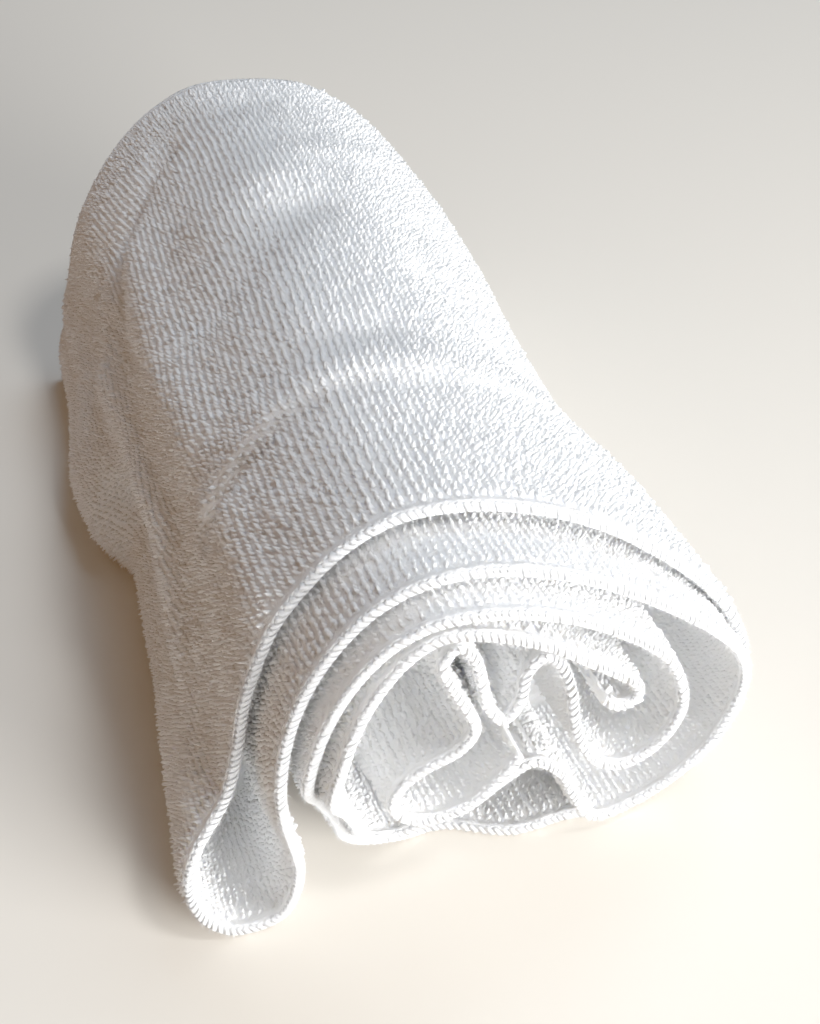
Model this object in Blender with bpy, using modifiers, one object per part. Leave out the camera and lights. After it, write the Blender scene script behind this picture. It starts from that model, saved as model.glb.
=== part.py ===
"""Rolled sports towel.

One sheet of terry cloth, folded in half end to end and rolled up from its two short hems, with the
middle fold left hanging as a soft loop beside the roll.  The sheet is one body: its section is one
line that starts at the hem in the core, winds out over the roll, goes round the hanging loop and
winds in again to the other hem.  The axis of the roll is Y, the front end is at -Y, it rests on z = 0.

Sizes are millimetres in the tables and metres in the mesh.
"""

import bpy
import numpy as np

MM = 0.001
CLOTH_THICK = 2.4        # terry with its pile pressed, and the same at the sewn edge
CLOTH_WIDTH = 208.0      # the towel's width, along the axis of the roll
CORE_X, CORE_Z = 0.0, 45.0   # the middle of the roll at its front end

# Over the roll, from the left side across the top to the right side, in the order of the winding.
# x and z are the outermost layer.  second, third and fourth say how far the next layers lie inside
# it (0 where that layer has already turned away).  The leads say how far the front edge of each
# layer stands out in front of y = 0.
OVER = (
    # name           x      z    second third fourth  lead1 lead2 lead3 lead4
    ("knee",       -57.0,  50.0,  5.0,  9.8, 13.6,    0.0, 12.0, 14.0, 18.0),
    ("left",       -54.6,  63.0,  4.6,  9.0, 13.0,    0.0, 12.0, 16.0, 20.0),
    ("left high",  -50.0,  75.0,  4.2,  8.4, 12.4,    0.0, 12.0, 17.0, 20.0),
    ("shoulder",   -43.3,  86.0,  4.2,  8.2, 12.2,    0.0, 12.5, 18.0, 20.0),
    ("top left",   -35.0,  94.2,  4.3,  8.3, 12.2,    0.0, 13.0, 19.0, 20.0),
    ("crown",      -24.5,  98.8,  4.6,  8.6, 12.6,    0.0, 13.5, 20.0, 20.0),
    ("top",        -11.0,  98.0,  5.0,  9.2, 13.8,    0.0, 13.0, 20.0, 20.5),
    ("top right",    5.0,  92.2,  5.4, 10.0, 15.8,    0.0, 12.5, 19.5, 21.0),
    ("slope",       20.0,  83.0,  5.6, 10.8, 18.0,    0.0, 12.0, 19.0, 21.0),
    ("low slope",   34.0,  70.8,  4.8, 11.6,  0.0,    0.0, 11.9, 19.0,  0.0),
    ("side",        45.6,  58.3,  3.9,  0.0,  0.0,    0.0, 11.2,  0.0,  0.0),
    ("right high",  53.6,  46.6,  3.5,  0.0,  0.0,    0.0,  9.2,  0.0,  0.0),
    ("right",       57.4,  35.0,  3.4,  0.0,  0.0,    1.0,  7.4,  0.0,  0.0),
)

# The hanging loop: the outermost layer goes down into it and the second layer comes up out of it.
LOOP = (
    # name            x      z    lead
    ("neck",        -60.5,  38.0,  1.0),
    ("out",         -66.5,  28.0,  3.0),
    ("left",        -70.6,  17.5,  4.0),
    ("left low",    -68.8,   7.6,  5.0),
    ("foot left",   -63.4,   1.9,  6.0),
    ("foot",        -57.8,   1.2,  6.5),
    ("foot right",  -52.6,   3.4,  7.0),
    ("right low",   -49.6,  10.6,  8.0),
    ("right",       -48.8,  20.5,  9.5),
    ("right high",  -50.4,  31.0, 11.0),
    ("up",          -52.0,  41.0, 12.0),
)

# Under the roll, from the right side to the left: the outermost layer, which then winds in as the
# third one.
UNDER = (
    ("right low",    56.0,  23.5,  4.0),
    ("corner",       49.8,  12.6,  5.0),
    ("rise",         40.5,   5.8,  5.5),
    ("foot right",   29.0,   1.8,  6.0),
    ("foot",         15.0,   1.2,  3.5),
    ("foot middle",   2.0,   1.2,  3.0),
    ("foot left",   -11.0,   1.2, -4.0),
    ("foot end",    -21.0,   1.4, -4.5),
    ("left rise",   -29.6,   5.0, -3.5),
    ("left corner", -35.6,  12.5, -1.0),
    ("left low",    -38.0,  21.5,  2.0),
    ("left",        -40.8,  31.0,  6.0),
    ("left high",   -44.4,  40.5, 10.0),
)

# The second layer under the roll, with the buckle in the middle that stands up as an arch.  It
# then winds in as the fourth one.
ARCH = (
    ("right low",    52.6,  24.5,  7.0),
    ("corner",       46.2,  15.0,  8.0),
    ("rise",         36.6,   8.4,  8.5),
    ("foot right",   26.6,   5.4,  9.0),
    ("arch foot",    19.6,   5.8,  9.5),
    ("arch low",     15.8,  10.4, 10.0),
    ("arch right",   12.6,  17.6, 10.0),
    ("arch high",     9.4,  25.2, 10.0),
    ("arch top",      2.8,  31.4, 10.0),
    ("arch left",    -4.4,  27.6,  9.5),
    ("arch fall",   -10.8,  19.6,  7.0),
    ("arch end",    -17.0,  11.6,  1.5),
    ("foot left",   -23.8,   8.4,  0.0),
    ("left rise",   -30.2,  12.0,  1.5),
    ("left low",    -34.2,  20.6,  5.5),
    ("left",        -37.0,  30.6, 10.5),
    ("left high",   -40.4,  40.4, 15.0),
)

# The fourth layer ends with its hem turned back in a small hook.
HOOK = (
    ("arm",          15.2,  63.2, 21.0),
    ("turn",         18.9,  59.0, 21.0),
    ("turn low",     18.4,  55.4, 21.0),
    ("back",         14.8,  55.2, 21.0),
    ("hem",          11.4,  58.0, 21.0),
)

# The third layer turns down into a pocket and is then crumpled into the core.
CORE = (
    ("pocket side",  29.6,  55.0, 19.0),
    ("pocket right", 31.2,  47.6, 19.0),
    ("pocket low",   29.4,  40.6, 19.0),
    ("pocket foot",  24.6,  35.6, 19.0),
    ("pocket end",   18.2,  34.0, 19.0),
    ("pocket left",  12.6,  37.4, 19.0),
    ("pocket rise",   9.0,  43.6, 19.0),
    ("arm low",       7.0,  50.6, 18.5),
    ("arm",           6.4,  58.0, 17.5),
    ("arm top",       4.6,  64.8, 16.0),
    ("curl top",      0.6,  69.4, 16.0),
    ("curl high",    -3.6,  67.2, 17.0),
    ("curl",         -5.0,  61.4, 18.0),
    ("curl foot",    -8.2,  57.2, 18.0),
    ("lobe right",  -11.8,  62.0, 18.0),
    ("lobe mid",    -13.2,  69.0, 18.0),
    ("lobe high",   -15.2,  77.0, 18.0),
    ("lobe top",    -18.4,  80.8, 18.0),
    ("lobe left",   -21.3,  77.6, 18.0),
    ("lobe fall",   -19.4,  70.6, 18.0),
    ("lobe low",    -16.2,  63.2, 18.0),
    ("lobe root",   -14.2,  56.0, 17.5),
    ("nose top",    -17.2,  50.2, 16.5),
    ("nose high",   -23.4,  46.8, 15.5),
    ("nose",        -28.6,  42.8, 15.0),
    ("nose tip",    -30.2,  36.6, 14.5),
    ("nose low",    -26.4,  30.8, 14.0),
    ("nose foot",   -19.4,  28.4, 14.0),
    ("nose back",   -12.4,  29.8, 14.0),
    ("under",        -6.6,  34.0, 13.5),
    ("hem",          -1.6,  38.4, 13.0),
)

# Along the roll the section changes: it gets lower and leans to the right, its sides move in, its
# right shoulder rises, and the loop tucks in, apart from one bulge at its foot.
ALONG = (
    # name           y      height  lean   left in  right in  right up  loop in
    ("front",       -30.0,  1.000,  0.00,   0.0,     0.0,      0.0,      0.0),
    ("edge",          0.0,  1.000,  0.00,   0.0,     0.0,      0.0,      0.0),
    ("near",         40.0,  0.985,  0.03,   0.0,     2.0,      0.0,      6.5),
    ("crease",       62.0,  0.975,  0.06,   0.0,     9.0,      0.0,      9.5),
    ("waist",        85.0,  0.955,  0.10,   0.0,     9.5,      0.0,     12.0),
    ("middle",      106.0,  0.930,  0.13,   1.5,     8.5,      1.0,     13.5),
    ("bulge",       121.0,  0.915,  0.15,   2.0,     7.5,      1.5,      5.0),
    ("bulge end",   140.0,  0.895,  0.18,   2.5,     5.5,      2.0,      4.5),
    ("far",         172.0,  0.850,  0.23,   4.0,     4.0,      3.0,     10.0),
    ("back",        210.0,  0.800,  0.27,   4.0,     4.5,      4.5,     14.0),
)

# Where each change of the section takes hold: the x or z where it starts, and where it is full.
LOOP_SIDE = (-47.0, -70.0)
LOOP_BELOW = (52.0, 22.0)
LEFT_SIDE = (-8.0, -54.0)
RIGHT_SIDE = (4.0, 52.0)
SHOULDER_SIDE = (-12.0, 28.0)
SHOULDER_UP = (15.0, 60.0)

# Folds of the outermost layer. Each is a soft ridge, or a trough where its height is negative,
# from one place to another, given as the angle about the core and the distance y along the roll.
# The layers inside follow it.
FOLDS = (
    # name                angle      y   to angle   to y   half width  height
    ("cross ridge",       146.0,  44.5,    50.0,   47.0,      6.5,       2.4),
    ("cross trough",      148.0,  33.0,   118.0,   32.0,      6.5,      -1.3),
    ("right valley",       80.0,  92.0,    46.0,   66.0,      8.0,      -1.5),
    ("top hollow",        104.0, 122.0,   130.0,   98.0,     10.0,      -1.6),
    ("top bulge",         124.0, 136.0,   108.0,  144.0,     11.0,       0.9),
    ("shoulder bump",     124.0, 208.0,   156.0,  196.0,     14.0,       2.4),
    ("corner far",        149.0, 146.0,   150.0,  105.0,     11.0,       2.4),
    ("corner",            150.0, 105.0,   145.0,   62.0,     11.0,       2.4),
    ("corner near",       143.0,  34.0,   144.0,    8.0,      9.0,       1.8),
    ("wall ridge",        181.0, 128.0,   171.0,   66.0,      8.5,       2.2),
    ("wall ridge near",   171.0,  66.0,   187.0,   25.0,      8.0,       1.8),
    ("wall hollow",       200.0, 110.0,   196.0,   62.0,     11.0,      -2.2),
)
ROLL_RADIUS = 54.0       # of the outermost layer about the core, on average

SPAN_STEPS = 14          # of the smooth section line, from one row to the next

# Where the cloth is divided along its width; closer at the cross ridge.
STATIONS = (0.0, 0.09, 0.155, 0.19, 0.22, 0.255, 0.295, 0.345, 0.42, 0.51, 0.585, 0.67, 0.78, 0.89, 1.0)


def catmull(points):
    """A smooth line through the given points."""
    pts = np.asarray(points, float)
    pts = np.vstack([2 * pts[0] - pts[1], pts, 2 * pts[-1] - pts[-2]])

    def knot(a, b):
        return max(np.linalg.norm((a - b)[:2]) ** 0.5, 1e-6)

    line = []
    for i in range(1, len(pts) - 2):
        a, b, c, d = pts[i - 1:i + 3]
        t1 = knot(a, b)
        t2 = t1 + knot(b, c)
        t3 = t2 + knot(c, d)
        for t in np.linspace(t1, t2, SPAN_STEPS, endpoint=False):
            ab = a + (b - a) * t / t1
            bc = b + (c - b) * (t - t1) / (t2 - t1)
            cd = c + (d - c) * (t - t2) / (t3 - t2)
            abc = ab + (bc - ab) * t / t2
            bcd = bc + (cd - bc) * (t - t1) / (t3 - t1)
            line.append(abc + (bcd - abc) * (t - t1) / (t2 - t1))
    line.append(pts[-2])
    return np.array(line)


def inward(rows):
    """Unit normals of the outermost layer that point into the roll, one for each row."""
    xz = np.array([row[1:3] for row in rows])
    fine = catmull(xz)
    tangent = np.gradient(fine, axis=0)[::SPAN_STEPS]
    tangent /= np.linalg.norm(tangent, axis=1)[:, None]
    return np.column_stack([tangent[:, 1], -tangent[:, 0]])


def layer(number):
    """The rows of one layer over the roll, in the order of OVER, as x, z and lead."""
    normals = inward(OVER)
    rows = []
    for row, normal in zip(OVER, normals):
        x, z = row[1:3]
        depth = 0.0 if number == 1 else row[1 + number]
        lead = row[5 + number]
        if number > 1 and depth == 0.0:
            continue
        rows.append((x + normal[0] * depth, z + normal[1] * depth, lead))
    return rows


def section_line():
    """The whole section from the core hem to the hook hem, as x, z and lead."""
    def plain(rows):
        return [row[1:] for row in rows]

    points = plain(CORE)[::-1]          # out of the core
    points += layer(3)[::-1]            # over the top to the left
    points += plain(UNDER)[::-1]        # under the roll to the right
    points += layer(1)[::-1]            # over the top to the left again, outermost
    points += plain(LOOP)               # round the hanging loop
    points += layer(2)                  # over the top to the right
    points += plain(ARCH)               # under the roll to the left, over the arch
    points += layer(4)                  # over the top to the right
    points += plain(HOOK)
    return catmull(points)


def divide(line, flat_step=10.0, bend_share=1.15):
    """Divide the line with longer steps on flat runs and shorter ones in the bends."""
    delta = np.diff(line[:, :2], axis=0)
    run = np.linalg.norm(delta, axis=1)
    angle = np.unwrap(np.arctan2(delta[:, 1], delta[:, 0]))
    bend = np.abs(np.gradient(angle))
    bend = np.convolve(bend, np.ones(5) / 5.0, mode="same")
    weight = np.r_[0.0, np.cumsum(run / flat_step + bend * bend_share)]
    count = int(round(weight[-1]))
    at = np.linspace(0.0, weight[-1], count + 1)
    return np.column_stack([np.interp(at, weight, line[:, k]) for k in range(3)])


def share_of(value, reach):
    """0 up to where the reach starts, and 1 from where it is full."""
    start, full = reach
    return np.clip((value - start) / (full - start), 0.0, 1.0)


def fold_height(angle, y):
    """How far the folds push the outermost layer out, at an angle about the core and a y."""
    angle = np.where(angle < -90.0, angle + 360.0, angle)
    arc = np.radians(ROLL_RADIUS)
    high = low = 0.0
    for name, angle0, y0, angle1, y1, half, height in FOLDS:
        across, along = (angle1 - angle0) * arc, y1 - y0
        to_x, to_y = (angle - angle0) * arc, y - y0
        share = np.clip((to_x * across + to_y * along) / (across ** 2 + along ** 2), 0.0, 1.0)
        off = (to_x - share * across) ** 2 + (to_y - share * along) ** 2
        fold = height * np.exp(-off / half ** 2)
        high = np.maximum(high, fold)
        low = np.minimum(low, fold)
    return high + low


def shape(x, z, y):
    """Move a point of the front section to its place at the distance y along the roll."""
    at = [row[1] for row in ALONG]
    height = np.interp(y, at, [row[2] for row in ALONG])
    lean = np.interp(y, at, [row[3] for row in ALONG])
    left = np.interp(y, at, [row[4] for row in ALONG])
    right = np.interp(y, at, [row[5] for row in ALONG])
    rise = np.interp(y, at, [row[6] for row in ALONG])
    tuck = np.interp(y, at, [row[7] for row in ALONG])

    # the loop moves towards the roll, most at its outer side
    x = x + tuck * share_of(x, LOOP_SIDE) * share_of(z, LOOP_BELOW)
    x = x + left * share_of(x, LEFT_SIDE) - right * share_of(x, RIGHT_SIDE)

    # the folds push every layer out or in, in proportion to its distance from the core
    angle = np.degrees(np.arctan2(z - CORE_Z, x - CORE_X))
    grow = 1.0 + fold_height(angle, y) / ROLL_RADIUS
    x = CORE_X + (x - CORE_X) * grow
    z = CORE_Z + (z - CORE_Z) * grow

    z = z * height
    x = x + lean * z
    z = z + rise * share_of(x, SHOULDER_SIDE) * share_of(z, SHOULDER_UP)
    return x, np.maximum(z, CLOTH_THICK / 2)


def sheet_surface():
    """The middle surface of the sheet: the section at every station, as a grid of quads."""
    line = divide(section_line())
    count = len(line)
    points = []
    for share in STATIONS:
        y = share * CLOTH_WIDTH - line[:, 2]
        x, z = shape(line[:, 0], line[:, 1], y)
        points.append(np.column_stack([x, y, z]))
    points = np.vstack(points)
    faces = []
    for ring in range(len(STATIONS) - 1):
        for i in range(count - 1):
            corner = ring * count + i
            faces.append((corner, corner + 1, corner + count + 1, corner + count))
    return points, faces


def terry_material():
    mat = bpy.data.materials.new("towel_terry")
    mat.use_nodes = True
    shader = mat.node_tree.nodes["Principled BSDF"]
    shader.inputs["Base Color"].default_value = (0.86, 0.87, 0.89, 1.0)
    shader.inputs["Roughness"].default_value = 0.95
    mat.diffuse_color = (0.86, 0.87, 0.89, 1.0)
    return mat


def main():
    for obj in list(bpy.data.objects):
        bpy.data.objects.remove(obj, do_unlink=True)

    points, faces = sheet_surface()
    mesh = bpy.data.meshes.new("towel")
    mesh.from_pydata([tuple(p) for p in points * MM], [], faces)
    mesh.update()
    mesh.shade_smooth()
    mesh.materials.append(terry_material())

    group = bpy.data.collections.new("rolled_sports_towel")
    bpy.context.scene.collection.children.link(group)
    towel = bpy.data.objects.new("towel", mesh)
    group.objects.link(towel)

    # the cloth's thickness, half to each side of the middle surface
    thick = towel.modifiers.new("cloth thickness", "SOLIDIFY")
    thick.thickness = CLOTH_THICK * MM
    thick.offset = 0.0
    thick.use_rim = True

    # the origin is the middle of the underside
    whole = towel.evaluated_get(bpy.context.evaluated_depsgraph_get())
    corners = np.array([tuple(v.co) for v in whole.data.vertices])
    low, high = corners.min(axis=0), corners.max(axis=0)
    middle = (low + high) / 2
    for vertex in mesh.vertices:
        vertex.co.x -= middle[0]
        vertex.co.y -= middle[1]
        vertex.co.z -= low[2]


main()
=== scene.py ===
"""Rolled sports towel: the terry cloth on its CAD section, with pile loops and overlocked edges."""

import math

import bpy
import numpy as np
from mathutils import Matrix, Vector


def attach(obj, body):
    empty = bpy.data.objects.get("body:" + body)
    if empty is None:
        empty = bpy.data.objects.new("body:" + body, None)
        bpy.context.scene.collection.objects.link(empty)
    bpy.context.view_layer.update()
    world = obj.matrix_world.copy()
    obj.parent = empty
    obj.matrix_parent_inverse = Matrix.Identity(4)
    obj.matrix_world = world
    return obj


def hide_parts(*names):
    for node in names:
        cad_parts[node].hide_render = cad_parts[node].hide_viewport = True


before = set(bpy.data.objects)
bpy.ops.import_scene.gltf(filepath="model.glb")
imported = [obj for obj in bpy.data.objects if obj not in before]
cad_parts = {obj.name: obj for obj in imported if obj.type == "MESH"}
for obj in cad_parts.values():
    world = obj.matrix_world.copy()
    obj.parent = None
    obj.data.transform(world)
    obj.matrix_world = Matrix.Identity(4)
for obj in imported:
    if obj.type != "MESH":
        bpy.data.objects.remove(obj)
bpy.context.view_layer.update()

MM = 0.001
CLOTH_THICK = 2.4
CLOTH_WIDTH = 208.0
CORE_X, CORE_Z = 0.0, 45.0
SHIFT = np.array([5.001, -95.745, 0.0])   # from the section's own place to the CAD origin

ROW_PITCH = 1.78         # between rows of pile loops, round the roll
LOOP_PITCH = 1.22        # between loops along a row
PILE_ROOT = 0.55         # foot of a loop, from the middle of the cloth
PILE_TALL = 1.45
PILE_LONG = 0.86         # half a loop's length
PILE_WIDE = 0.56         # half its width
PILE_SLANT = 0.65        # radians from the row
PILE_LEAN = 0.30         # how far a loop's crest leans along the loop
PILE_CREST = 0.42        # half length of a loop's crest, as a share of its foot's
PILE_DROP = 0.12         # how much lower the crest's far end is, as a share of the height
PILE_SHORT = 0.8         # height of the hidden faces' loops, as a share
PILE_REACH = 34.0        # how far in from the front edge the inner faces have loops
PILE_BACK = 16.0         # and from the back edge
BARE_EDGE = 3.0          # width of the sewn edge, which has no loops
PILE_END = 1.5           # from the cloth's two hems to the first loops
UNDER_TRIM = 8.0         # from the start of the underside to the loops of the outer face
LOOP_TRIM = 12.0         # and from the end of the hanging loop
SPLIT_OFF = 60.0         # where the underside's loops end, before the middle of the outer turn
STITCH_PITCH = 1.6       # of the overlock stitches along the edge
STITCH_SLANT = 0.8
STITCH_HALF = 0.80       # half a stitch's width
STITCH_THICK = 0.10
STITCH_REACH = 0.98      # from the middle of the cloth to a stitch's ends
STITCH_OUT = 0.62        # how far a stitch stands out of the edge
STITCH_SUNK = 0.1        # how far its ends lie in the cloth
STITCH_BASE = 0.25       # from the edge to where a stitch's place is read
STITCH_WAY = 1.0         # and to where the way along the edge is read
STITCH_END = 1.0         # from the hems to the first and last stitch
STITCH_STEPS = 7
STITCH_SIDES = 4
ROPE_FROM_EDGE = 1.05
ROPE_WIDE = 0.60
ROPE_THICK = 0.20
ROPE_OFF = 1.02          # from the middle of the cloth to the rope's own middle
ROPE_STEP = 0.8
ROPE_END = 0.5
ROPE_STRAY = 0.05
ROPE_SIDES = 6
FIBRE_HALF = 0.045       # half a loose fibre's width at its foot
FLOOR_GAP = 0.03         # nothing of the cloth dips below this height

# How much the loops, stitches and ropes vary: a loop's turn in radians, its lean and sway in mm,
# places as shares of the pitch, and the rest as shares of their own sizes.
VARY = {
    "loop turn": 0.30, "loop height": 0.16, "loop length": 0.14, "loop width": 0.10,
    "loop lean": 0.22, "loop sway": 0.12, "loop place": 0.12, "row place": 0.07,
    "stitch place": 0.08, "stitch width": 0.10, "stitch thickness": 0.20,
    "rope width": 0.07, "rope thickness": 0.12,
}
SEED = 7
rng = np.random.default_rng(SEED)

# Over the roll: outermost layer, depth of the next layers inside it, and their leads at the front.
OVER = (
    # name           x      z    second third fourth  lead1 lead2 lead3 lead4
    ("knee",       -57.0,  50.0,  5.0,  9.8, 13.6,    0.0, 12.0, 14.0, 18.0),
    ("left",       -54.6,  63.0,  4.6,  9.0, 13.0,    0.0, 12.0, 16.0, 20.0),
    ("left high",  -50.0,  75.0,  4.2,  8.4, 12.4,    0.0, 12.0, 17.0, 20.0),
    ("shoulder",   -43.3,  86.0,  4.2,  8.2, 12.2,    0.0, 12.5, 18.0, 20.0),
    ("top left",   -35.0,  94.2,  4.3,  8.3, 12.2,    0.0, 13.0, 19.0, 20.0),
    ("crown",      -24.5,  98.8,  4.6,  8.6, 12.6,    0.0, 13.5, 20.0, 20.0),
    ("top",        -11.0,  98.0,  5.0,  9.2, 13.8,    0.0, 13.0, 20.0, 20.5),
    ("top right",    5.0,  92.2,  5.4, 10.0, 15.8,    0.0, 12.5, 19.5, 21.0),
    ("slope",       20.0,  83.0,  5.6, 10.8, 18.0,    0.0, 12.0, 19.0, 21.0),
    ("low slope",   34.0,  70.8,  4.8, 11.6,  0.0,    0.0, 11.9, 19.0,  0.0),
    ("side",        45.6,  58.3,  3.9,  0.0,  0.0,    0.0, 11.2,  0.0,  0.0),
    ("right high",  53.6,  46.6,  3.5,  0.0,  0.0,    0.0,  9.2,  0.0,  0.0),
    ("right",       57.4,  35.0,  3.4,  0.0,  0.0,    1.0,  7.4,  0.0,  0.0),
)
LOOP = (
    # name            x      z    lead
    ("neck",        -60.5,  38.0,  1.0),
    ("out",         -66.5,  28.0,  3.0),
    ("left",        -70.6,  17.5,  4.0),
    ("left low",    -68.8,   7.6,  5.0),
    ("foot left",   -63.4,   1.9,  6.0),
    ("foot",        -57.8,   1.2,  6.5),
    ("foot right",  -52.6,   3.4,  7.0),
    ("right low",   -49.6,  10.6,  8.0),
    ("right",       -48.8,  20.5,  9.5),
    ("right high",  -50.4,  31.0, 11.0),
    ("up",          -52.0,  41.0, 12.0),
)
UNDER = (
    ("right low",    56.0,  23.5,  4.0),
    ("corner",       49.8,  12.6,  5.0),
    ("rise",         40.5,   5.8,  5.5),
    ("foot right",   29.0,   1.8,  6.0),
    ("foot",         15.0,   1.2,  3.5),
    ("foot middle",   2.0,   1.2,  3.0),
    ("foot left",   -11.0,   1.2, -4.0),
    ("foot end",    -21.0,   1.4, -4.5),
    ("left rise",   -29.6,   5.0, -3.5),
    ("left corner", -35.6,  12.5, -1.0),
    ("left low",    -38.0,  21.5,  2.0),
    ("left",        -40.8,  31.0,  6.0),
    ("left high",   -44.4,  40.5, 10.0),
)
ARCH = (
    ("right low",    52.6,  24.5,  7.0),
    ("corner",       46.2,  15.0,  8.0),
    ("rise",         36.6,   8.4,  8.5),
    ("foot right",   26.6,   5.4,  9.0),
    ("arch foot",    19.6,   5.8,  9.5),
    ("arch low",     15.8,  10.4, 10.0),
    ("arch right",   12.6,  17.6, 10.0),
    ("arch high",     9.4,  25.2, 10.0),
    ("arch top",      2.8,  31.4, 10.0),
    ("arch left",    -4.4,  27.6,  9.5),
    ("arch fall",   -10.8,  19.6,  7.0),
    ("arch end",    -17.0,  11.6,  1.5),
    ("foot left",   -23.8,   8.4,  0.0),
    ("left rise",   -30.2,  12.0,  1.5),
    ("left low",    -34.2,  20.6,  5.5),
    ("left",        -37.0,  30.6, 10.5),
    ("left high",   -40.4,  40.4, 15.0),
)
HOOK = (
    ("arm",          15.2,  63.2, 21.0),
    ("turn",         18.9,  59.0, 21.0),
    ("turn low",     18.4,  55.4, 21.0),
    ("back",         14.8,  55.2, 21.0),
    ("hem",          11.4,  58.0, 21.0),
)
CORE = (
    ("pocket side",  29.6,  55.0, 19.0),
    ("pocket right", 31.2,  47.6, 19.0),
    ("pocket low",   29.4,  40.6, 19.0),
    ("pocket foot",  24.6,  35.6, 19.0),
    ("pocket end",   18.2,  34.0, 19.0),
    ("pocket left",  12.6,  37.4, 19.0),
    ("pocket rise",   9.0,  43.6, 19.0),
    ("arm low",       7.0,  50.6, 18.5),
    ("arm",           6.4,  58.0, 17.5),
    ("arm top",       4.6,  64.8, 16.0),
    ("curl top",      0.6,  69.4, 16.0),
    ("curl high",    -3.6,  67.2, 17.0),
    ("curl",         -5.0,  61.4, 18.0),
    ("curl foot",    -8.2,  57.2, 18.0),
    ("lobe right",  -11.8,  62.0, 18.0),
    ("lobe mid",    -13.2,  69.0, 18.0),
    ("lobe high",   -15.2,  77.0, 18.0),
    ("lobe top",    -18.4,  80.8, 18.0),
    ("lobe left",   -21.3,  77.6, 18.0),
    ("lobe fall",   -19.4,  70.6, 18.0),
    ("lobe low",    -16.2,  63.2, 18.0),
    ("lobe root",   -14.2,  56.0, 17.5),
    ("nose top",    -17.2,  50.2, 16.5),
    ("nose high",   -23.4,  46.8, 15.5),
    ("nose",        -28.6,  42.8, 15.0),
    ("nose tip",    -30.2,  36.6, 14.5),
    ("nose low",    -26.4,  30.8, 14.0),
    ("nose foot",   -19.4,  28.4, 14.0),
    ("nose back",   -12.4,  29.8, 14.0),
    ("under",        -6.6,  34.0, 13.5),
    ("hem",          -1.6,  38.4, 13.0),
)
ALONG = (
    # name           y      height  lean   left in  right in  right up  loop in
    ("front",       -30.0,  1.000,  0.00,   0.0,     0.0,      0.0,      0.0),
    ("edge",          0.0,  1.000,  0.00,   0.0,     0.0,      0.0,      0.0),
    ("near",         40.0,  0.985,  0.03,   0.0,     2.0,      0.0,      6.5),
    ("crease",       62.0,  0.975,  0.06,   0.0,     9.0,      0.0,      9.5),
    ("waist",        85.0,  0.955,  0.10,   0.0,     9.5,      0.0,     12.0),
    ("middle",      106.0,  0.930,  0.13,   1.5,     8.5,      1.0,     13.5),
    ("bulge",       121.0,  0.915,  0.15,   2.0,     7.5,      1.5,      5.0),
    ("bulge end",   140.0,  0.895,  0.18,   2.5,     5.5,      2.0,      4.5),
    ("far",         172.0,  0.850,  0.23,   4.0,     4.0,      3.0,     10.0),
    ("back",        210.0,  0.800,  0.27,   4.0,     4.5,      4.5,     14.0),
)

# Where each change of the section takes hold: the x or z where it starts, and where it is full.
LOOP_SIDE = (-47.0, -70.0)
LOOP_BELOW = (52.0, 22.0)
LEFT_SIDE = (-8.0, -54.0)
RIGHT_SIDE = (4.0, 52.0)
SHOULDER_SIDE = (-12.0, 28.0)
SHOULDER_UP = (15.0, 60.0)

# Folds of the outer turn, from one place to another: its angle about the core and its y.
FOLDS = (
    # name                angle      y   to angle   to y   half width  height
    ("ridge left",        149.0,  44.2,   125.0,   44.8,      2.3,       2.0),
    ("ridge top",         125.0,  44.5,    85.0,   46.5,      1.6,       1.2),
    ("ridge right",        85.0,  46.5,    50.0,   47.0,      2.0,       1.5),
    ("ridge foot",        144.0,  48.0,    50.0,   50.0,      7.5,       1.1),
    ("trough left",       153.0,  39.8,   138.0,   39.4,      3.4,      -2.3),
    ("trough middle",     138.0,  39.4,   118.0,   40.6,      2.8,      -1.3),
    ("trough right",      120.0,  41.0,    60.0,   41.5,      3.6,      -0.6),
    ("trough end",        168.0,  41.6,   154.0,   40.0,      3.8,      -1.2),
    ("before trough",     146.0,  28.0,   134.0,   22.0,      6.0,       1.2),
    ("behind ridge",      124.0,  57.0,   100.0,   61.0,      6.0,      -1.3),
    ("right valley",       80.0,  92.0,    60.0,   74.0,      4.5,      -2.4),
    ("right valley end",   60.0,  74.0,    44.0,   62.0,      4.5,      -2.6),
    ("right strip",        66.0, 106.0,    38.0,   78.0,      7.0,       1.8),
    ("top hollow",        104.0, 122.0,   130.0,   98.0,      8.0,      -2.2),
    ("top bulge",         124.0, 134.0,   108.0,  143.0,      9.0,       1.4),
    ("far arc",           116.0, 150.0,    68.0,  160.0,      4.5,       1.0),
    ("far hollow",        122.0, 190.0,   104.0,  188.0,      6.0,      -1.4),
    ("shoulder crease",   127.0, 187.0,   149.0,  171.0,      4.5,      -3.6),
    ("crease end",        149.0, 171.0,   161.0,  144.0,      5.0,      -2.6),
    ("shoulder bump",     122.0, 208.0,   156.0,  194.0,     12.0,       3.2),
    ("corner far",        148.0, 156.0,   150.0,  105.0,      8.0,       3.2),
    ("corner",            150.0, 105.0,   145.0,   62.0,      7.5,       3.2),
    ("corner near",       143.0,  34.0,   144.0,    8.0,      6.5,       2.2),
    ("wall ridge far",    180.0, 142.0,   173.0,   88.0,      4.5,       2.6),
    ("wall ridge",        173.0,  88.0,   170.0,   66.0,      4.0,       3.0),
    ("wall ridge near",   170.0,  66.0,   182.0,   38.0,      4.0,       2.6),
    ("wall ridge end",    182.0,  38.0,   195.0,    0.0,      4.5,       1.4),
    ("wall hollow",       199.0, 112.0,   194.0,   60.0,      9.5,      -3.8),
    ("wall crease",       168.0, 150.0,   160.0,  120.0,      4.0,      -1.6),
    ("wall fold",         160.0,  60.0,   168.0,   20.0,      5.0,      -1.2),
)
ROLL_RADIUS = 54.0
LEAST_ANGLE = -60.0      # angles about the core are read from here on, so that no fold is cut
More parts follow.
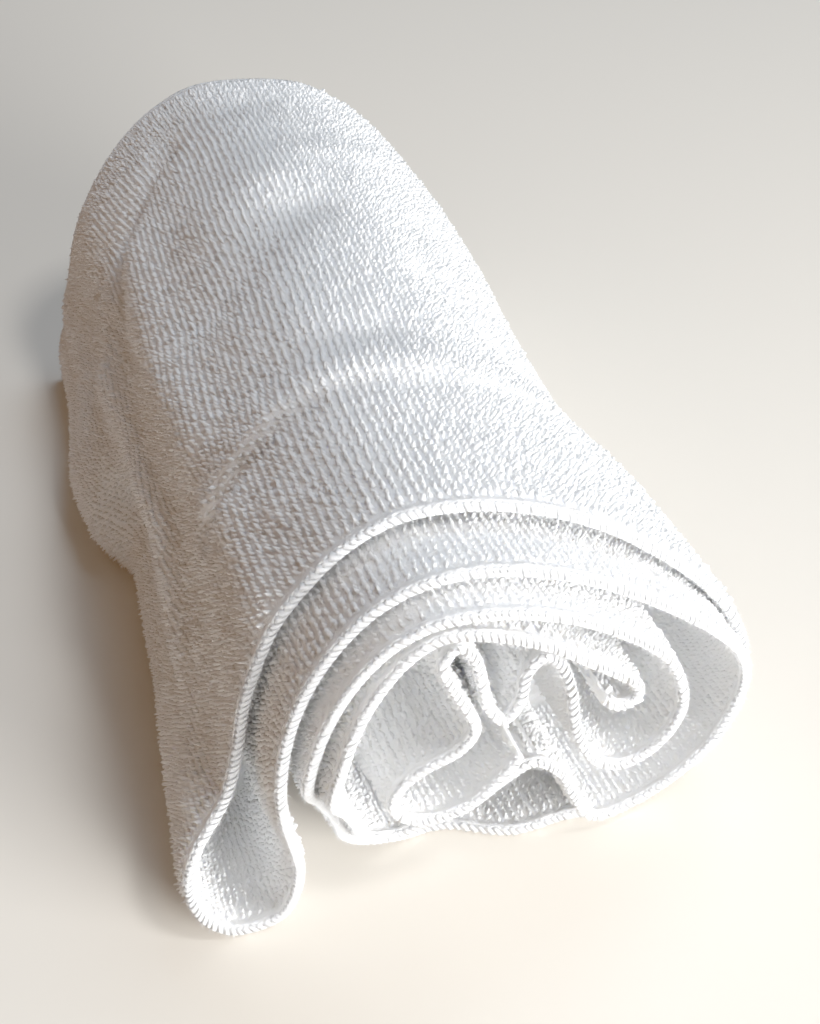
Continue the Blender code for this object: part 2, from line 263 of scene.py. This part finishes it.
SPAN_STEPS = 14
FLAT_STEP = 3.0          # length of a step on a flat stretch of the section
BEND_SHARE = 2.2         # extra steps per radian of bend
BEND_SMOOTH = 5          # points over which the bend is averaged
LAST_CELL = 1.001        # keeps a place inside the last cell of the grid
TINY = 1e-9              # keeps a length from being nothing


def catmull(points):
    """A smooth line through the given points."""
    pts = np.asarray(points, float)
    pts = np.vstack([2 * pts[0] - pts[1], pts, 2 * pts[-1] - pts[-2]])

    def knot(a, b):
        return max(np.linalg.norm((a - b)[:2]) ** 0.5, 1e-6)

    line = []
    for i in range(1, len(pts) - 2):
        a, b, c, d = pts[i - 1:i + 3]
        t1 = knot(a, b)
        t2 = t1 + knot(b, c)
        t3 = t2 + knot(c, d)
        for t in np.linspace(t1, t2, SPAN_STEPS, endpoint=False):
            ab = a + (b - a) * t / t1
            bc = b + (c - b) * (t - t1) / (t2 - t1)
            cd = c + (d - c) * (t - t2) / (t3 - t2)
            abc = ab + (bc - ab) * t / t2
            bcd = bc + (cd - bc) * (t - t1) / (t3 - t1)
            line.append(abc + (bcd - abc) * (t - t1) / (t2 - t1))
    line.append(pts[-2])
    return np.array(line)


def inward(rows):
    """Unit vectors from the outermost layer to the core, at each row of its table."""
    xz = np.array([row[1:3] for row in rows])
    fine = catmull(xz)
    tangent = np.gradient(fine, axis=0)[::SPAN_STEPS]
    tangent /= np.linalg.norm(tangent, axis=1)[:, None]
    return np.column_stack([tangent[:, 1], -tangent[:, 0]])


def layer(number):
    """The points of one layer over the roll, each with its lead, where the layer exists."""
    rows = []
    for row, normal in zip(OVER, inward(OVER)):
        x, z = row[1:3]
        depth = 0.0 if number == 1 else row[1 + number]
        if number > 1 and depth == 0.0:
            continue
        rows.append((x + normal[0] * depth, z + normal[1] * depth, row[5 + number]))
    return rows


def section_line():
    """The section from the core hem to the hook hem, and where on it each part starts and ends."""
    def plain(rows):
        return [row[1:] for row in rows]

    parts = [plain(CORE)[::-1], layer(3)[::-1], plain(UNDER)[::-1], layer(1)[::-1],
             plain(LOOP), layer(2), plain(ARCH), layer(4), plain(HOOK)]
    names = ["core", "third", "under", "outer", "loop", "second", "arch", "fourth", "hook"]
    points, marks = [], {}
    for name, rows in zip(names, parts):
        marks[name] = (len(points) * SPAN_STEPS, (len(points) + len(rows)) * SPAN_STEPS)
        points += rows
    return catmull(points), marks


def divide(line):
    """The line in fewer steps, closer together where it bends, and where each lies on the line."""
    delta = np.diff(line[:, :2], axis=0)
    run = np.linalg.norm(delta, axis=1)
    angle = np.unwrap(np.arctan2(delta[:, 1], delta[:, 0]))
    bend = np.abs(np.gradient(angle))
    bend = np.convolve(bend, np.ones(BEND_SMOOTH) / BEND_SMOOTH, mode="same")
    weight = np.r_[0.0, np.cumsum(run / FLAT_STEP + bend * BEND_SHARE)]
    count = int(round(weight[-1]))
    at = np.linspace(0.0, weight[-1], count + 1)
    line = np.column_stack([np.interp(at, weight, line[:, k]) for k in range(3)])
    return line, np.interp(at, weight, np.arange(len(weight)))


def share_of(value, reach):
    """0 up to where the reach starts, and 1 from where it is full."""
    start, full = reach
    return np.clip((value - start) / (full - start), 0.0, 1.0)


def fold_height(angle, y):
    """How far the folds push the outer turn out at an angle about the core and a y."""
    arc = math.radians(ROLL_RADIUS)
    high = low = 0.0
    for _, angle0, y0, angle1, y1, half, height in FOLDS:
        across, along = (angle1 - angle0) * arc, y1 - y0
        to_x, to_y = (angle - angle0) * arc, y - y0
        share = np.clip((to_x * across + to_y * along) / (across ** 2 + along ** 2), 0.0, 1.0)
        off = (to_x - share * across) ** 2 + (to_y - share * along) ** 2
        fold = height * np.exp(-off / half ** 2)
        high = np.maximum(high, fold)
        low = np.minimum(low, fold)
    return high + low


def shape(x, z, y):
    """Move a point of the front section to its place at the distance y along the roll."""
    at = [row[1] for row in ALONG]
    height, lean, left, right, rise, tuck = (
        np.interp(y, at, [row[k] for row in ALONG]) for k in range(2, 8))

    x = x + tuck * share_of(x, LOOP_SIDE) * share_of(z, LOOP_BELOW)
    x = x + left * share_of(x, LEFT_SIDE) - right * share_of(x, RIGHT_SIDE)

    angle = np.degrees(np.arctan2(z - CORE_Z, x - CORE_X))
    angle = np.mod(angle - LEAST_ANGLE, 360.0) + LEAST_ANGLE
    grow = 1.0 + fold_height(angle, y) / ROLL_RADIUS
    x = CORE_X + (x - CORE_X) * grow
    z = CORE_Z + (z - CORE_Z) * grow

    z = z * height
    x = x + lean * z
    z = z + rise * share_of(x, SHOULDER_SIDE) * share_of(z, SHOULDER_UP)
    return x, np.maximum(z, CLOTH_THICK / 2)


FINE, MARKS = section_line()
RUN = np.r_[0.0, np.cumsum(np.linalg.norm(np.diff(FINE[:, :2], axis=0), axis=1))]


def middle_grid(line, shares):
    """Points and unit normals of the middle surface, as arrays [station, point, 3]."""
    points = []
    for share in shares:
        y = share * CLOTH_WIDTH - line[:, 2]
        x, z = shape(line[:, 0], line[:, 1], y)
        points.append(np.column_stack([x, y, z]))
    points = np.array(points)
    along = np.gradient(points, axis=0)
    across = np.gradient(points, axis=1)
    normal = np.cross(along, across)
    normal /= np.linalg.norm(normal, axis=2)[:, :, None]
    return points, normal


# Along the width the stations lie close together at the two sewn edges.
EDGE_STATIONS = (0.0, 0.35, 0.9, 1.6, 2.3, 2.9, 3.5, 4.4, 5.8, 8.0, 11.0, 14.5, 18.5, 23.0)
EDGE_PROFILE = (
    # distance from the edge, half of the thickness
    (0.00, 0.80), (0.35, 0.92), (0.90, 0.92), (1.60, 0.88), (2.30, 0.70), (2.90, 0.62),
    (3.50, 0.70), (4.40, 0.85), (5.80, 0.85), (300.0, 0.85),
)
MIDDLE_STATIONS = (
    # name      from     to  step
    ("front",   27.0,  34.0,  3.0),
    ("ridge",   35.0,  53.0,  1.3),
    ("rest",    56.0, 190.0,  4.6),
)
BACK_STATIONS = 11
STATIONS = list(EDGE_STATIONS)
for _, first, last, step in MIDDLE_STATIONS:
    STATIONS += list(np.arange(first, last, step))
STATIONS += [CLOTH_WIDTH - e for e in EDGE_STATIONS[:BACK_STATIONS]][::-1]
STATIONS = np.array(sorted(set(np.round(STATIONS, 3))))

LINE, LINE_AT = divide(FINE)
GRID, NORMAL = middle_grid(LINE, STATIONS / CLOTH_WIDTH)
LINE_RUN = np.interp(LINE_AT, np.arange(len(RUN)), RUN)


def at_cloth(run, across):
    """Point, normal, direction along the roll and round it, at a run and a distance from the edge."""
    i = np.clip(np.interp(run, LINE_RUN, np.arange(len(LINE_RUN))), 0, len(LINE_RUN) - LAST_CELL)
    j = np.clip(np.interp(across, STATIONS, np.arange(len(STATIONS))), 0, len(STATIONS) - LAST_CELL)
    i0, j0 = i.astype(int), j.astype(int)
    fi, fj = (i - i0)[:, None], (j - j0)[:, None]

    def mix(grid):
        low = grid[j0, i0] * (1 - fi) + grid[j0, i0 + 1] * fi
        high = grid[j0 + 1, i0] * (1 - fi) + grid[j0 + 1, i0 + 1] * fi
        return low * (1 - fj) + high * fj

    point, normal = mix(GRID), mix(NORMAL)
    normal /= np.linalg.norm(normal, axis=1)[:, None]
    ahead = GRID[j0 + 1, i0] - GRID[j0, i0]
    ahead /= np.linalg.norm(ahead, axis=1)[:, None]
    round_ = np.cross(normal, ahead)
    return point, normal, ahead, round_


def above_floor(points):
    """The points, with none below the least height."""
    points[..., 2] = np.maximum(points[..., 2], FLOOR_GAP)
    return points


def new_object(name, points, faces, mat):
    """A smooth mesh object from points in mm in the section's own place."""
    mesh = bpy.data.meshes.new(name)
    points = np.asarray(points, dtype=np.float64)
    mesh.vertices.add(len(points))
    mesh.vertices.foreach_set("co", ((points + SHIFT) * MM).astype(np.float32).ravel())
    faces = np.asarray(faces, dtype=np.int32)
    sides = faces.shape[1]
    mesh.loops.add(faces.size)
    mesh.loops.foreach_set("vertex_index", faces.ravel())
    mesh.polygons.add(len(faces))
    mesh.polygons.foreach_set("loop_start", np.arange(0, faces.size, sides, dtype=np.int32))
    mesh.polygons.foreach_set("loop_total", np.full(len(faces), sides, dtype=np.int32))
    mesh.update(calc_edges=True)
    mesh.validate()
    mesh.shade_smooth()
    mesh.materials.append(mat)
    ob = bpy.data.objects.new(name, mesh)
    bpy.context.scene.collection.objects.link(ob)
    return ob


SHEEN_ROUGH = 0.5
GLOSS = 0.2
SOFT_COLOR = (1.0, 0.95, 0.85)
SOFT_DEPTH = 0.0018      # how deep light goes into the cotton, in metres
COTTON_ROUGH = 0.95
COTTON_SHEEN = 0.25
BUMP_DEPTH = 0.0006
STAIN_NOISE = (900.0, 3.0, 0.6)      # scale, detail and roughness of the noise
FIBRE_NOISE = (1500.0, 4.0, 0.65)
TERRY = (
    # name              light                  dark                   bump  soft share
    ("terry_ground",    (0.93, 0.935, 0.94),   (0.86, 0.865, 0.875),  0.7,  0.7),
    ("terry_pile",      (0.94, 0.945, 0.95),   (0.87, 0.875, 0.885),  0.5,  0.35),
    ("overlock_thread", (0.93, 0.93, 0.93),    (0.86, 0.86, 0.86),    0.5,  0.7),
)


def material(name, color, rough, sheen, soft_share=0.0):
    """A plain material, with its node tree and shader."""
    mat = bpy.data.materials.new(name)
    mat.use_nodes = True
    shader = mat.node_tree.nodes["Principled BSDF"]
    shader.inputs["Base Color"].default_value = (*color, 1.0)
    shader.inputs["Roughness"].default_value = rough
    shader.inputs["Sheen Weight"].default_value = sheen
    shader.inputs["Sheen Roughness"].default_value = SHEEN_ROUGH
    shader.inputs["Specular IOR Level"].default_value = GLOSS
    shader.inputs["Subsurface Weight"].default_value = soft_share
    shader.inputs["Subsurface Radius"].default_value = SOFT_COLOR
    shader.inputs["Subsurface Scale"].default_value = SOFT_DEPTH
    mat.diffuse_color = (*color, 1.0)
    return mat, mat.node_tree, shader


def noise(tree, coord, scale, detail, rough):
    node = tree.nodes.new("ShaderNodeTexNoise")
    node.inputs["Scale"].default_value = scale
    node.inputs["Detail"].default_value = detail
    node.inputs["Roughness"].default_value = rough
    tree.links.new(coord, node.inputs["Vector"])
    return node.outputs["Fac"]


def terry(name, light, dark, strength, soft_share):
    """White cotton: slightly uneven in colour, with fine fibres in the bump."""
    mat, tree, shader = material(name, light, COTTON_ROUGH, COTTON_SHEEN, soft_share)
    coord = tree.nodes.new("ShaderNodeTexCoord").outputs["Object"]
    ramp = tree.nodes.new("ShaderNodeMix")
    ramp.data_type = "RGBA"
    ramp.inputs["A"].default_value = (*dark, 1.0)
    ramp.inputs["B"].default_value = (*light, 1.0)
    tree.links.new(noise(tree, coord, *STAIN_NOISE), ramp.inputs["Factor"])
    tree.links.new(ramp.outputs["Result"], shader.inputs["Base Color"])
    bump = tree.nodes.new("ShaderNodeBump")
    bump.inputs["Strength"].default_value = strength
    bump.inputs["Distance"].default_value = BUMP_DEPTH
    tree.links.new(noise(tree, coord, *FIBRE_NOISE), bump.inputs["Height"])
    tree.links.new(bump.outputs["Normal"], shader.inputs["Normal"])
    return mat


ground_mat, pile_mat, thread_mat = [terry(*row) for row in TERRY]


def cloth():
    """The whole towel as one thin closed sheet, blunt at its sewn edges."""
    count, rings = len(LINE), len(STATIONS)
    from_edge = np.minimum(STATIONS, CLOTH_WIDTH - STATIONS)
    half = np.interp(from_edge, [p[0] for p in EDGE_PROFILE], [p[1] for p in EDGE_PROFILE])
    top = GRID + NORMAL * half[:, None, None]
    bottom = GRID - NORMAL * half[:, None, None]
    points = above_floor(np.vstack([top.reshape(-1, 3), bottom.reshape(-1, 3)]))
    base = rings * count
    i, j = np.meshgrid(np.arange(count - 1), np.arange(rings - 1))
    a = (j * count + i).ravel()
    up = np.column_stack([a, a + count, a + count + 1, a + 1])
    down = np.column_stack([a, a + 1, a + count + 1, a + count]) + base
    k = np.arange(rings - 1) * count
    start = np.column_stack([k, k + base, k + count + base, k + count])
    k = k + count - 1
    end = np.column_stack([k, k + count, k + count + base, k + base])
    k = np.arange(count - 1)
    front = np.column_stack([k, k + 1, k + 1 + base, k + base])
    k = k + (rings - 1) * count
    back = np.column_stack([k, k + base, k + 1 + base, k + 1])
    faces = np.vstack([up, down, start, end, front, back])
    return new_object("towel_cloth", points, faces, ground_mat)


def scatter(runs, across, side, name, height=1.0):
    """Pile loops: small leaning beads that stand on the cloth at the given places."""
    point, normal, ahead, round_ = at_cloth(runs, across)
    n = len(runs)
    normal = normal * side[:, None]
    jitter = rng.normal(0.0, 1.0, (n, 6))
    root = point + normal * PILE_ROOT
    turn = PILE_SLANT + VARY["loop turn"] * jitter[:, 0]
    long_ = ahead * np.cos(turn)[:, None] + round_ * np.sin(turn)[:, None]
    wide = np.cross(normal, long_)
    tall = height * PILE_TALL * (1.0 + VARY["loop height"] * jitter[:, 1])
    length = PILE_LONG * (1.0 + VARY["loop length"] * jitter[:, 2])
    width = PILE_WIDE * (1.0 + VARY["loop width"] * jitter[:, 3])
    lean = long_ * (PILE_LEAN + VARY["loop lean"] * jitter[:, 4])[:, None]
    lean = lean + wide * (VARY["loop sway"] * jitter[:, 5])[:, None]
    foot = long_ * length[:, None]
    side_ = wide * width[:, None]
    crest = root + normal * tall[:, None] + lean
    drop = normal * (PILE_DROP * tall)[:, None]
    points = np.stack([
        root - foot, root - side_, root + foot, root + side_,
        crest - foot * PILE_CREST, crest + foot * PILE_CREST - drop], axis=1)
    pattern = np.array([(0, 1, 4), (1, 5, 4), (1, 2, 5), (2, 3, 5), (3, 4, 5), (3, 0, 4)])
    faces = (pattern[None, :, :] + (np.arange(n) * 6)[:, None, None]).reshape(-1, 3)
    return new_object(name, above_floor(points).reshape(-1, 3), faces, pile_mat)


def rows_of_loops(run0, run1, across0, across1, side):
    """Run, distance from the edge and side of each loop in rows that run along the roll."""
    runs, acrosses = [], []
    for k, run in enumerate(np.arange(run0, run1, ROW_PITCH)):
        across = np.arange(across0 + (k % 2) * LOOP_PITCH / 2, across1, LOOP_PITCH)
        across = across + rng.normal(0.0, VARY["loop place"] * LOOP_PITCH, len(across))
        stray = rng.normal(0.0, VARY["row place"] * ROW_PITCH, len(across))
        runs.append(np.full(len(across), run) + stray)
        acrosses.append(across)
    runs, acrosses = np.concatenate(runs), np.concatenate(acrosses)
    return runs, acrosses, np.full(len(runs), float(side))


def joined(*sets):
    """Several sets of columns as one."""
    return [np.concatenate(column) for column in zip(*sets)]


def run_of(name, end):
    """The run at which a named part of the section starts (0) or ends (1)."""
    return RUN[min(MARKS[name][end], len(RUN) - 1)]


def tubes(name, path, sideways, wide, thick, sides):
    """One tube along each path: paths [tube, step, 3], with half widths along and off the cloth."""
    count, steps = path.shape[:2]
    tangent = np.gradient(path, axis=1)
    tangent /= np.linalg.norm(tangent, axis=2)[:, :, None] + TINY
    sideways = sideways - tangent * (sideways * tangent).sum(axis=2)[:, :, None]
    sideways /= np.linalg.norm(sideways, axis=2)[:, :, None] + TINY
    outward = np.cross(sideways, tangent)
    rings = []
    for k in range(sides):
        angle = 2 * math.pi * k / sides
        rings.append(path + sideways * (math.cos(angle) * wide)[..., None]
                     + outward * (math.sin(angle) * thick)[..., None])
    points = above_floor(np.stack(rings, axis=2))
    pattern = []
    for step in range(steps - 1):
        for k in range(sides):
            m = (k + 1) % sides
            low, high = step * sides, (step + 1) * sides
            pattern.append((low + k, low + m, high + m, high + k))
    faces = np.array(pattern)[None, :, :] + (np.arange(count) * steps * sides)[:, None, None]
    return new_object(name, points.reshape(-1, 3), faces.reshape(-1, 4), thread_mat)


def from_edge(across, front):
    """The distance across the cloth that lies so far from its front or back edge."""
    return across if front else CLOTH_WIDTH - across


def overlock(name, front=True):
    """Slanted stitches laid side by side on the end face of a long edge."""
    runs = np.arange(STITCH_END, RUN[-1] - STITCH_END, STITCH_PITCH)
    runs = runs + rng.normal(0.0, VARY["stitch place"] * STITCH_PITCH, len(runs))
    outward = -1.0 if front else 1.0
    base = np.full(len(runs), from_edge(STITCH_BASE, front))
    path = []
    for turn in np.linspace(-1.0, 1.0, STITCH_STEPS):
        angle = turn * math.pi / 2
        slanted = np.clip(runs + turn * STITCH_SLANT, 0.0, RUN[-1])
        point, normal, ahead, _ = at_cloth(slanted, base)
        path.append(point + normal * (math.sin(angle) * STITCH_REACH)
                    + ahead * (outward * (STITCH_OUT * math.cos(angle) - STITCH_SUNK)))
    path = np.stack(path, axis=1)
    _, _, _, round_ = at_cloth(runs, np.full(len(runs), from_edge(STITCH_WAY, front)))
    sideways = np.repeat(round_[:, None, :], path.shape[1], axis=1)
    wide = STITCH_HALF * (1.0 + rng.normal(0.0, VARY["stitch width"], (len(runs), 1)))
    wide = np.broadcast_to(wide, path.shape[:2])
    thick = STITCH_THICK * (1.0 + rng.normal(0.0, VARY["stitch thickness"], (len(runs), 1)))
    thick = np.broadcast_to(thick, path.shape[:2])
    return tubes(name, path, sideways, wide, thick, STITCH_SIDES)


def edge_rope(name, side, front=True):
    """The strip of thread that lies on one face of the cloth beside a long edge."""
    runs = np.arange(ROPE_END, RUN[-1] - ROPE_END, ROPE_STEP)
    count = len(runs)
    across = np.full(count, from_edge(ROPE_FROM_EDGE, front))
    point, normal, ahead, _ = at_cloth(runs, across)
    path = point + normal * side * (ROPE_OFF + rng.normal(0.0, ROPE_STRAY, count))[:, None]
    path = path + ahead * rng.normal(0.0, ROPE_STRAY, count)[:, None]
    wide = ROPE_WIDE * (1.0 + rng.normal(0.0, VARY["rope width"], count))
    thick = ROPE_THICK * (1.0 + rng.normal(0.0, VARY["rope thickness"], count))
    return tubes(name, path[None], ahead[None], wide[None], thick[None], ROPE_SIDES)


FIBRE_ROOT = (0.3, 1.0)      # least and most share of the lift at which a fibre starts
FIBRE_RISE = (0.2, 1.0)      # how much of its way is off the cloth
FIBRE_LONG = (0.5, 1.3)      # least and most share of its length
FIBRE_STRAY = 0.5
FIBRES = (
    # name            count  lift  length  lean  faces of the cloth
    ("fibres_front",  60000,  1.1,   1.1,  -0.7, (1.0, -1.0)),
    ("fibres_outer",  30000,  2.0,   1.0,   0.0, (1.0,)),
    ("fibres_back",   12000,  1.1,   1.1,   0.7, (1.0, -1.0)),
)


def fibres(name, count, lift, length, lean, sides, reach):
    """Loose ends of cotton: one thin triangle each, which stand off the cloth or lean past its edge."""
    run0, run1, across0, across1 = reach
    runs = rng.uniform(run0, run1, count)
    across = rng.uniform(across0, across1, count)
    point, normal, ahead, round_ = at_cloth(runs, across)
    normal = normal * rng.choice(sides, count)[:, None]
    root = point + normal * (lift * rng.uniform(*FIBRE_ROOT, count))[:, None]
    way = normal * rng.uniform(*FIBRE_RISE, (count, 1))
    way = way + ahead * (lean + rng.normal(0.0, FIBRE_STRAY, (count, 1)))
    way = way + round_ * rng.normal(0.0, FIBRE_STRAY, (count, 1))
    way /= np.linalg.norm(way, axis=1)[:, None]
    across_way = np.cross(way, rng.normal(0.0, 1.0, (count, 3)))
    across_way /= np.linalg.norm(across_way, axis=1)[:, None]
    tip = root + way * (length * rng.uniform(*FIBRE_LONG, count))[:, None]
    half = across_way * FIBRE_HALF
    points = above_floor(np.stack([root - half, root + half, tip], axis=1))
    faces = np.arange(count * 3).reshape(-1, 3)
    return new_object(name, points.reshape(-1, 3), faces, pile_mat)


towel = cloth()

start, end = PILE_END, RUN[-1] - PILE_END
outer0, outer1 = run_of("under", 0) + UNDER_TRIM, run_of("loop", 1) - LOOP_TRIM
near, far = BARE_EDGE, CLOTH_WIDTH - BARE_EDGE
split = (run_of("outer", 0) + run_of("outer", 1)) / 2 - SPLIT_OFF
pile_over = scatter(*rows_of_loops(split, outer1, near, far, 1.0), "pile_over")
pile_under = scatter(*rows_of_loops(outer0, split, near, far, 1.0), "pile_under")
pile_front = scatter(*joined(
    rows_of_loops(start, outer0, near, PILE_REACH, 1.0),
    rows_of_loops(outer1, end, near, PILE_REACH, 1.0),
    rows_of_loops(start, end, near, PILE_REACH, -1.0),
), "pile_front", height=PILE_SHORT)
pile_back = scatter(*joined(
    rows_of_loops(start, end, CLOTH_WIDTH - PILE_BACK, far, 1.0),
    rows_of_loops(start, end, CLOTH_WIDTH - PILE_BACK, far, -1.0),
), "pile_back", height=PILE_SHORT)
edge_front = overlock("overlock_front", True)
edge_back = overlock("overlock_back", False)
ropes = [edge_rope("rope_front_outer", 1.0), edge_rope("rope_front_inner", -1.0),
         edge_rope("rope_back_outer", 1.0, False), edge_rope("rope_back_inner", -1.0, False)]

reaches = ((start, end, 0.0, near), (outer0, outer1, near, far), (start, end, far, CLOTH_WIDTH))
fuzz = [fibres(*row, reach) for row, reach in zip(FIBRES, reaches)]

pieces = [pile_over, pile_under, pile_front, pile_back, edge_front, edge_back] + ropes + fuzz
for piece in [towel] + pieces:
    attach(piece, "root")
    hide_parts("towel")


SENSOR = 36.0
FOCAL_SHARE = 1700.0 / 1024.0            # focal length as a share of the picture's height
CAMERA_PLACE = np.array([-106.57, -216.04, 302.28])
CAMERA_DOWN = 41.0
CAMERA_TURN = -21.6
camera_data = bpy.data.cameras.new("camera")
camera_data.lens = FOCAL_SHARE * SENSOR
camera_data.sensor_width = SENSOR
camera_data.clip_start = 0.01
camera = bpy.data.objects.new("camera", camera_data)
camera.location = (CAMERA_PLACE + SHIFT) * MM
camera.rotation_euler = (math.radians(90.0 - CAMERA_DOWN), 0.0, math.radians(CAMERA_TURN))
bpy.context.scene.collection.objects.link(camera)
bpy.context.scene.camera = camera

FLOOR_COLOR = (0.82, 0.76, 0.67)
FLOOR_ROUGH = 0.9
FLOOR_SIZE = 6.0
FLOOR_DOWN = -0.0004
floor_mat, _, _ = material("floor", FLOOR_COLOR, FLOOR_ROUGH, 0.0)
bpy.ops.mesh.primitive_plane_add(size=FLOOR_SIZE, location=(0.0, 0.0, FLOOR_DOWN))
floor = bpy.context.active_object
floor.name = "floor"
floor.data.materials.append(floor_mat)


def area_light(name, place, target, size, power, color):
    """A rectangular light that faces its target and that the camera doesn't see."""
    data = bpy.data.lights.new(name, "AREA")
    data.shape = "RECTANGLE"
    data.size, data.size_y = size
    data.energy = power
    data.color = color
    ob = bpy.data.objects.new(name, data)
    ob.location = place
    toward = Vector(target) - Vector(place)
    ob.rotation_euler = toward.to_track_quat("-Z", "Y").to_euler()
    ob.visible_camera = False
    bpy.context.scene.collection.objects.link(ob)


LIGHTS = (
    # name     place                  target               size          power  colour
    ("key",    (0.32, -0.50, 1.05),   (0.0, -0.02, 0.05),  (0.20, 0.20),  3.9,  (1.0, 1.0, 1.0)),
    ("sky",    (0.60, 0.40, 1.4),     (0.0, 0.0, 0.05),    (0.7, 0.7),    6.5,  (0.66, 0.82, 1.0)),
    ("front",  (0.50, -1.20, 0.30),   (0.0, 0.0, 0.05),    (0.7, 0.4),    8.5,  (1.0, 1.0, 1.0)),
    ("low",    (0.36, -0.66, 0.13),   (0.02, -0.10, 0.05), (0.55, 0.22), 11.0,  (1.0, 1.0, 0.99)),
    ("left",   (-1.0, 0.05, 0.40),    (0.0, 0.0, 0.05),    (1.4, 0.8),    0.85, (1.0, 0.36, 0.02)),
)
WORLD_COLOR = (1.0, 0.82, 0.62, 1.0)
WORLD_STRENGTH = 0.04
VIEW_GAMMA = 1.5
for row in LIGHTS:
    area_light(*row)

world = bpy.data.worlds.new("world")
world.use_nodes = True
world.node_tree.nodes["Background"].inputs["Color"].default_value = WORLD_COLOR
world.node_tree.nodes["Background"].inputs["Strength"].default_value = WORLD_STRENGTH
bpy.context.scene.world = world
bpy.context.scene.view_settings.view_transform = "Standard"
bpy.context.scene.view_settings.gamma = VIEW_GAMMA
